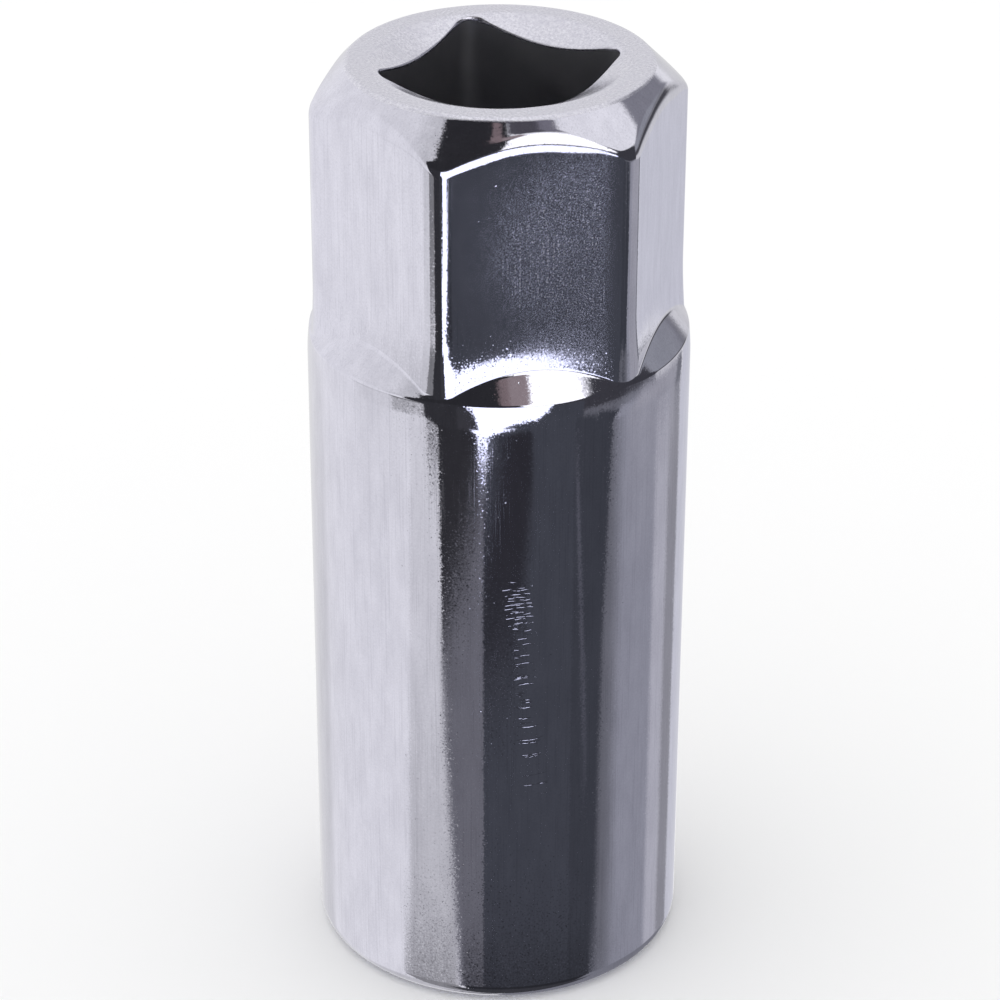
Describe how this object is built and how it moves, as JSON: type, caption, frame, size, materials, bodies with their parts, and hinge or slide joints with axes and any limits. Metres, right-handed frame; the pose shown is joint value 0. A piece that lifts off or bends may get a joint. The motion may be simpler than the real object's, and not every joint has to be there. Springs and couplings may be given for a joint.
{
  "type": "spark plug socket",
  "caption": "Deep chromed spark plug socket: a round body with a plug hexagon and a rubber grip inside, and a hexagonal head with a square drive hole.",
  "frame": {"origin": "centre of the mouth's end face, on the socket's axis", "axes": "+Z along the axis from the mouth towards the drive face; +X and +Y square to the walls of the drive square"},
  "size_m": [0.0274, 0.0274, 0.07],
  "materials": {
    "chrome": "polished chrome plate on forged steel",
    "rubber": "matte moulded black rubber"
  },
  "bodies": {
    "root": {"socket_body": "chrome", "rubber_grip": "rubber"}
  },
  "joints": []
}
